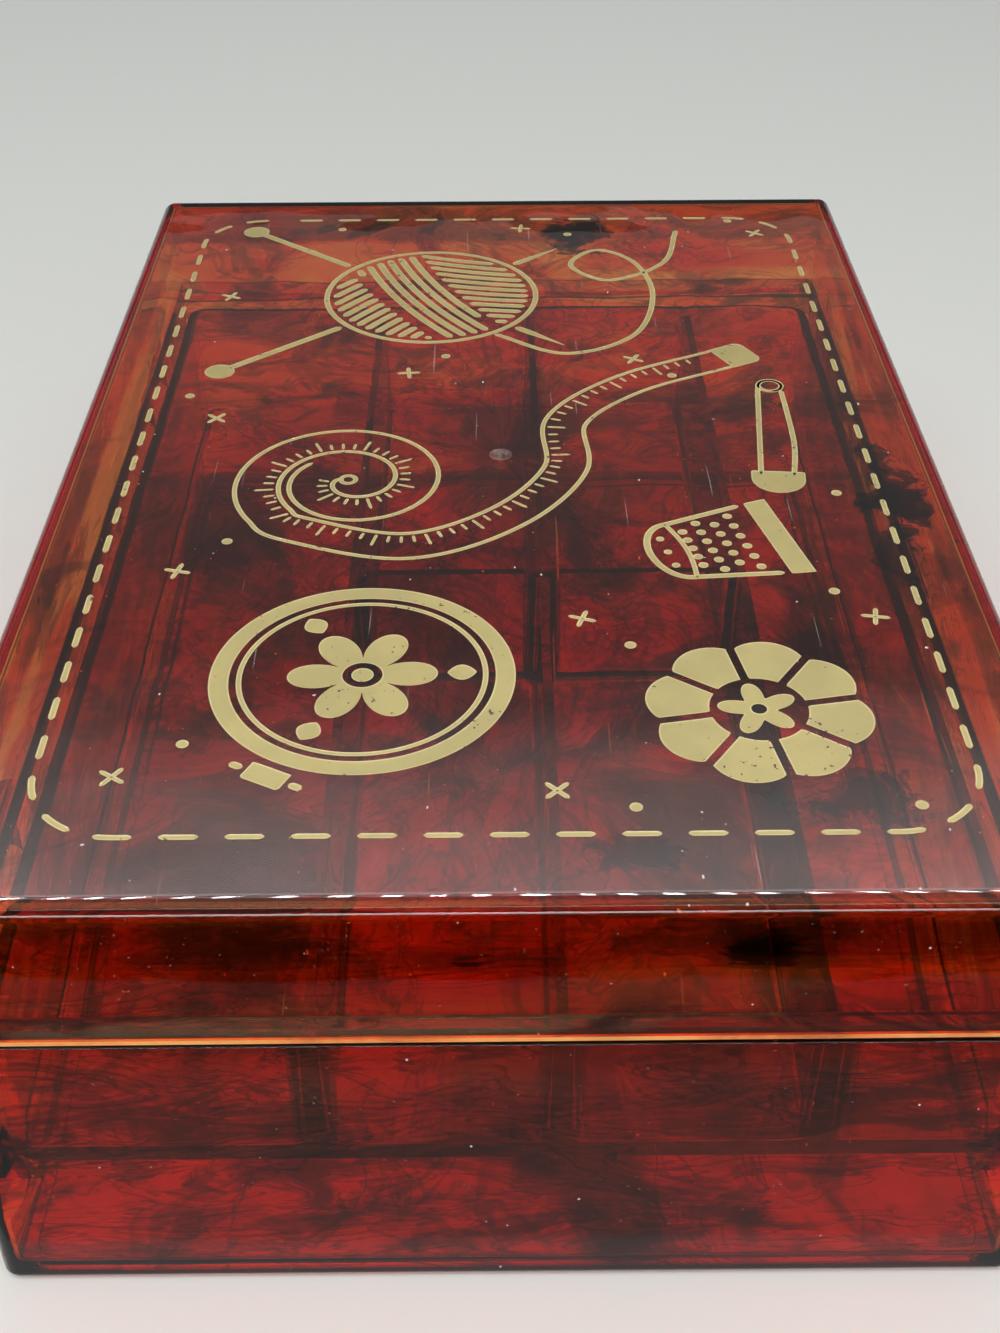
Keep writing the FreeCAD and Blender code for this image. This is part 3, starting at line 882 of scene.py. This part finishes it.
def floor_material(colour):
    """Plain pale floor."""
    material, tree, output = new_material("Floor")
    place = put(tree, "ShaderNodeTexCoord").outputs["Object"]
    grain = noise(tree, place, 0.4, 2).outputs["Fac"]
    paler = tuple(min(1.0, 1.02 * part) for part in colour)
    shade = blend_colours(tree, grain, tuple(colour), paler)
    matt = put(tree, "ShaderNodeBsdfPrincipled", {
        "Base Color": shade, "Roughness": 0.9, "Specular IOR Level": 0.0})
    tree.links.new(matt.outputs[0], output.inputs["Surface"])
    return material


def card_material(name, stops):
    """Matt grey for a card that only reflections see: its grey changes along X by the stops,
    each a distance in front of the box and a level."""
    material, tree, output = new_material(name)
    place = put(tree, "ShaderNodeTexCoord").outputs["Object"]
    along = put(tree, "ShaderNodeSeparateXYZ", {0: place}).outputs["X"]
    level = None
    for (near, first), (far, second) in zip(stops, stops[1:]):
        part = fade(tree, along, NEAR_X - near, NEAR_X - far, 0, second - first)
        level = part if level is None else maths(tree, "ADD", level, part)
    level = maths(tree, "ADD", level, stops[0][1])
    glow = put(tree, "ShaderNodeEmission", {"Strength": level})
    tree.links.new(glow.outputs[0], output.inputs["Surface"])
    return material


def lamp_row_material(name, strength, spacing, dark):
    """Light of a strip of small lamps: a sine across Y lifts each lamp over the dark between."""
    material, tree, output = new_material(name)
    place = put(tree, "ShaderNodeTexCoord").outputs["Object"]
    across = put(tree, "ShaderNodeSeparateXYZ", {0: place}).outputs["Y"]
    wave = maths(tree, "SINE", maths(tree, "MULTIPLY", across, 2 * math.pi / spacing))
    level = fade(tree, wave, 0.1, 0.8, dark * strength, strength)
    glow = put(tree, "ShaderNodeEmission", {"Strength": level})
    tree.links.new(glow.outputs[0], output.inputs["Surface"])
    return material


def upright_panel(name, x, heights, width, levels, rise):
    """Upright soft panel that faces along X, its light going from the first level at its foot to
    the second over the rise: y and z on a grid of two by two."""
    material, tree, output = new_material(name.replace("_", " ").capitalize())
    place = put(tree, "ShaderNodeTexCoord").outputs["Object"]
    up = put(tree, "ShaderNodeSeparateXYZ", {0: place}).outputs["Z"]
    level = fade(tree, up, *rise, *levels)
    glow = put(tree, "ShaderNodeEmission", {"Strength": level})
    tree.links.new(glow.outputs[0], output.inputs["Surface"])
    u, v = np.meshgrid((-0.5, 0.5), heights)
    points = np.stack((np.full_like(u, x), width * u, v), -1).reshape(-1, 3)
    mesh = bpy.data.meshes.new(name)
    mesh.from_pydata(points.tolist(), [], [(0, 2, 3, 1)])
    mesh.materials.append(material)
    piece = bpy.data.objects.new(name, mesh)
    bpy.context.scene.collection.objects.link(piece)
    return piece


def only_reflected(piece):
    """Hide a stage piece from all but reflections and what is seen through the plastic."""
    piece.visible_camera = False
    piece.visible_diffuse = False
    piece.visible_shadow = False
    return piece


def lamp(name, place, target, size, power):
    """Square soft lamp that points at a target."""
    light = bpy.data.lights.new(name, "AREA")
    light.size = size
    light.energy = power
    holder = bpy.data.objects.new(name, light)
    aim = (Vector(target) - Vector(place)).to_track_quat("-Z", "Y")
    holder.matrix_world = Matrix.Translation(Vector(place)) @ aim.to_matrix().to_4x4()
    bpy.context.scene.collection.objects.link(holder)
    holder.visible_glossy = False
    return holder


def make_world():
    """Soft surroundings: pale below and overhead, dimmer around at eye height."""
    world = bpy.data.worlds.new("Surroundings")
    bpy.context.scene.world = world
    world.use_nodes = True
    tree = world.node_tree
    tree.nodes.clear()
    direction = put(tree, "ShaderNodeTexCoord").outputs["Generated"]
    up = put(tree, "ShaderNodeSeparateXYZ", {0: direction}).outputs["Z"]
    ramp = put(tree, "ShaderNodeValToRGB", {"Fac": maths(tree, "MULTIPLY_ADD", up, 0.5)})
    ramp.inputs["Fac"].links[0].from_node.inputs[2].default_value = 0.5
    stops = ((0.0, 0.55), (0.52, 0.55), (0.60, 0.11), (0.80, 0.15), (0.90, 0.60), (1.0, 0.62))
    elements = ramp.color_ramp.elements
    while len(elements) < len(stops):
        elements.new(0.5)
    for element, (height, level) in zip(elements, stops):
        element.position = height
        element.color = (level, level, level, 1)
    back = put(tree, "ShaderNodeBackground", {"Color": ramp.outputs[0], "Strength": 1.0})
    output = tree.nodes.new("ShaderNodeOutputWorld")
    tree.links.new(back.outputs[0], output.inputs["Surface"])


class MakeStage(bpy.types.Operator):
    """Set up the camera, the pale floor and the soft light"""
    bl_idname = "sewing_box.stage"
    bl_label = "Stage"

    def execute(self, context):
        sizes = context.scene.box_stage
        scene = context.scene
        scene.view_settings.view_transform = "Standard"
        scene.cycles.max_bounces = 14
        scene.cycles.transmission_bounces = 14
        scene.cycles.transparent_max_bounces = 32
        make_camera(sizes)
        make_world()
        sheet("floor", (0, 0, -0.0001), sizes.floor_size, sizes.floor_size,
              floor_material(sizes.floor))
        card = sheet("front_card", (NEAR_X - 0.5, 0, 0.0005), 1.0, 3.0, card_material(
            "Front card", ((0.0, 0.55), (0.006, 0.50), (0.009, 0.33), (0.040, 0.25), (0.054, 0.13),
                           (0.068, 0.12), (0.0695, 0.0))))
        only_reflected(card).visible_transmission = False
        for name, place, width, strength, spacing, dark in (
                ("lamp_row_over", (0.06, 0, 0.66), 0.12, 40.0, 0.024, 0.06),
                ("lamp_row_behind", (-0.72, 0, 0.62), 0.10, 3.5, 0.5, 0.9)):
            row = only_reflected(sheet(name, place, width, 1.6,
                                       lamp_row_material(name, strength, spacing, dark)))
            row.visible_transmission = False
        for name, x, heights, width, levels, rise in (
                ("panel_beyond", 1.4, (0.62, 3.0), 4.0, (0.31, 4.3), (1.15, 2.05)),
                ("panel_in_front", -1.6, (0.10, 0.36), 2.6, (5.0, 8.0), (0.1, 0.2))):
            panel = only_reflected(upright_panel(name, x, heights, width, levels, rise))
            panel.visible_transmission = False
        lamp("Key lamp", (-0.60, 0.3, 1.3), (0, 0, 0.05), 1.0, 9)
        lamp("Fill lamp", (-0.9, -0.3, 0.9), (0, 0, 0.05), 1.0, 4.5)
        return {"FINISHED"}


class SewingBoxPanel(bpy.types.Panel):
    """Lists what makes the sewing box"""
    bl_idname = "VIEW3D_PT_sewing_box"
    bl_label = "Sewing box"
    bl_space_type = "VIEW_3D"
    bl_region_type = "UI"
    bl_category = "Sewing box"

    def draw(self, context):
        layout = self.layout
        for step in STEPS:
            layout.operator(step.bl_idname)
        for group in (context.scene.box_plastic, context.scene.box_print,
                      context.scene.box_stage):
            for name in group.__annotations__:
                layout.prop(group, name)


GROUPS = {"box_plastic": PlasticLook, "box_print": PrintLook, "box_stage": StageSizes}
STEPS = (MakeStage, MakeShells, MakePins, MakePrint)
CLASSES = (*GROUPS.values(), *STEPS, SewingBoxPanel)


def register():
    for made in CLASSES:
        bpy.utils.register_class(made)
    for name, group in GROUPS.items():
        setattr(bpy.types.Scene, name, bpy.props.PointerProperty(type=group))


def unregister():
    for name in GROUPS:
        delattr(bpy.types.Scene, name)
    for made in reversed(CLASSES):
        bpy.utils.unregister_class(made)


def main():
    """Make everything in order."""
    register()
    for step in STEPS:
        group, name = step.bl_idname.split(".")
        getattr(getattr(bpy.ops, group), name)()


if __name__ == "__main__":
    main()
